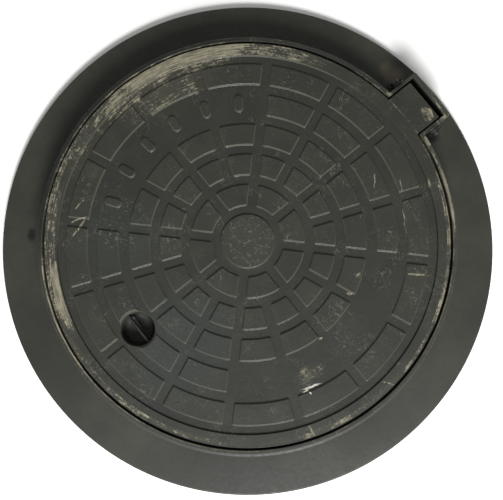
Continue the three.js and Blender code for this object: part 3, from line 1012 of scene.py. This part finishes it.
def tread_dirt_and_painted_light(tree, coat, place, heading, radius, top):
    """The lid's coat with dirt and painted shade in the channels, a painted highlight on the sides of the tiles
    and the rim's step, painted shade inside the lifting cup and underneath, and how far each edge is polished.
    """
    facing = node(tree, "ShaderNodeTexCoord").node.outputs["Normal"]
    upward = node(tree, "ShaderNodeSeparateXYZ", vector=facing).node.outputs["Z"]
    height = node(tree, "ShaderNodeSeparateXYZ", vector=place).node.outputs["Z"]
    tiles = soft_window(tree, radius, 38 * MM, 292 * MM, MM, 0.9)
    rim_step = arc_mask(tree, heading, radius, RIM_GLINT)
    edge = node(tree, "ShaderNodeMath", {"operation": "MAXIMUM"}, _0=tiles, _1=rim_step)
    edge = node(tree, "ShaderNodeMath", {"operation": "MULTIPLY"}, _0=edge, _1=top)
    shoulder = soft_window(tree, upward, 0.2, 0.975, 0.02, 1.0)
    patchy = grain(tree, place, 34, low=0.36, high=0.52)
    polish = node(tree, "ShaderNodeMath", {"operation": "MULTIPLY"}, _0=edge, _1=shoulder)
    polish = node(tree, "ShaderNodeMath", {"operation": "MULTIPLY"}, _0=polish, _1=patchy)
    tile_top = (HEIGHT - 1) * MM
    low = node(
        tree, "ShaderNodeMapRange", value=height, from_min=tile_top, from_max=FIELD_Z * MM, to_max=0.17
    )
    depth = node(
        tree, "ShaderNodeMapRange", value=height, from_min=(FIELD_Z - 1) * MM, from_max=(FIELD_Z - 7) * MM
    )
    coat = layered(
        tree, coat,
        # Painted highlight: a lighter coat on the sides of the tiles and the rim's step, which the key light turns
        # into bright lines where the sides face it.
        (edge, soft_window(tree, upward, 0.2, 0.82, 0.05, 1.0), "#47473f"),
        # Dirt and painted shade darken the channels below the tile tops.
        (low, "#11110f"),
        # Painted shade: one flat dark-grey tone inside the lifting cup and on the lid's sides and underside below
        # the field.
        (depth, "#2b2d29"),
    )
    return coat, polish


def pocket_dirt_and_painted_shade(tree, coat, place, heading, radius, top):
    """The frame's coat with black dirt and painted shade inside the hinge pocket, and no polished edges."""
    apart = node(tree, "ShaderNodeSeparateXYZ", vector=place).node.outputs
    across = soft_window(tree, apart["X"], -(POCKET_HALF + 0.4) * MM, (POCKET_HALF + 0.4) * MM, 0.3 * MM, 1.0)
    along = soft_window(tree, apart["Y"], WALL_IN * MM, (POCKET_END + 0.4) * MM, 0.3 * MM, 1.0)
    below = node(
        tree, "ShaderNodeMapRange", value=apart["Z"], from_min=(HEIGHT - 0.5) * MM, from_max=(HEIGHT - 5) * MM
    )
    # Black dirt and painted shade below the pocket's top edge.
    return layered(tree, coat, (across, along, below, "#070706")), 0.0


def blackened_steel():
    """Drawn steel with a thin black coating, rubbed through in places."""
    material, tree, shader = blank_material("blackened_steel")
    place = node(tree, "ShaderNodeTexCoord").node.outputs["Object"]
    scale = node(tree, "ShaderNodeTexNoise", vector=place, scale=per_metre(4), detail=6.0, roughness=0.7)
    rubbed = node(tree, "ShaderNodeMapRange", value=scale, from_min=0.5, from_max=0.68)
    tree.links.new(layered(tree, rgb("#141412"), (rubbed, "#2c2822")), shader.inputs["Base Color"])
    rough = node(tree, "ShaderNodeMapRange", value=scale, from_min=0.3, from_max=0.7, to_min=0.42, to_max=0.7)
    tree.links.new(rough, shader.inputs["Roughness"])
    shader.inputs["Metallic"].default_value = 0.2
    bump = node(tree, "ShaderNodeBump", strength=0.5, distance=0.15 * MM, height=scale)
    tree.links.new(bump, shader.inputs["Normal"])
    return material


def seat_rubber():
    """Moulded rubber, matt black with a film of dust."""
    material, tree, shader = blank_material("moulded_rubber")
    place = node(tree, "ShaderNodeTexCoord").node.outputs["Object"]
    film = node(tree, "ShaderNodeTexNoise", vector=place, scale=per_metre(16), detail=5.0, roughness=0.6)
    dust = node(tree, "ShaderNodeMapRange", value=film, from_min=0.45, from_max=0.75)
    tree.links.new(layered(tree, rgb("#161615"), (dust, "#37352f")), shader.inputs["Base Color"])
    rough = node(tree, "ShaderNodeMapRange", value=film, from_min=0.3, from_max=0.7, to_min=0.6, to_max=0.85)
    tree.links.new(rough, shader.inputs["Roughness"])
    pores = node(tree, "ShaderNodeTexNoise", vector=place, scale=per_metre(1.2), detail=2.0)
    bump = node(tree, "ShaderNodeBump", strength=0.4, distance=0.1 * MM, height=pores)
    tree.links.new(bump, shader.inputs["Normal"])
    return material


# ---- Stage ---------------------------------------------------------------------------------------
def stage():
    bm = bmesh.new()
    bmesh.ops.create_grid(bm, x_segments=1, y_segments=1, size=4)
    bmesh.ops.translate(bm, verts=bm.verts, vec=(0, 0, -0.0005))
    floor = working_object(bm, "floor")
    floor.data.materials.append(matt_backdrop_paint())
    world = bpy.data.worlds.new("studio")
    world.use_nodes = True
    world.node_tree.nodes["Background"].inputs["Color"].default_value = (1, 1, 1, 1)
    world.node_tree.nodes["Background"].inputs["Strength"].default_value = 0.4
    bpy.context.scene.world = world
    bpy.context.scene.view_settings.view_transform = "Standard"
    softbox("key light", bearing=-80, elevation=41, distance=4.5, size=1.7, power=400)


# ---- Assembly ------------------------------------------------------------------------------------
camera()
stage()
frame_iron = coated_cast_iron(
    "coated_cast_iron_frame", FRAME_WORN_ARCS, FRAME_SCRATCHES, FRAME_STAINS_SHADE_AND_HIGHLIGHT, "#2a2b25", "#34352d",
    own_dirt_and_painted_light=pocket_dirt_and_painted_shade, roughcast=0.25,
)
lid_iron = coated_cast_iron(
    "coated_cast_iron_lid", LID_WORN_ARCS, (*LID_SCRATCHES, *TONGUE_CORNER_WEAR), LID_STAINS_AND_PAINTED_REFLECTION, "#252620", "#2e2f28",
    own_dirt_and_painted_light=tread_dirt_and_painted_light, roughcast=0.45,
)
steel = blackened_steel()
rubber = seat_rubber()
piece("frame_casting", frame_shape(), "frame_body", frame_iron)
piece("lid_casting", lid_shape(), "lid_body", lid_iron)
piece("seat_gasket_ring", gasket(), "frame_body", rubber)
piece("hinge_pin_bar", hinge_pin(), "frame_body", steel)
for side, word in ((-1, "left"), (1, "right")):
    piece(f"hinge_washer_{word}_disc", washer(side), "frame_body", steel)
    piece(f"split_pin_{word}_wire", split_pin(side), "frame_body", steel)
piece("lifting_bar_flat", lifting_bar(), "lid_body", steel)
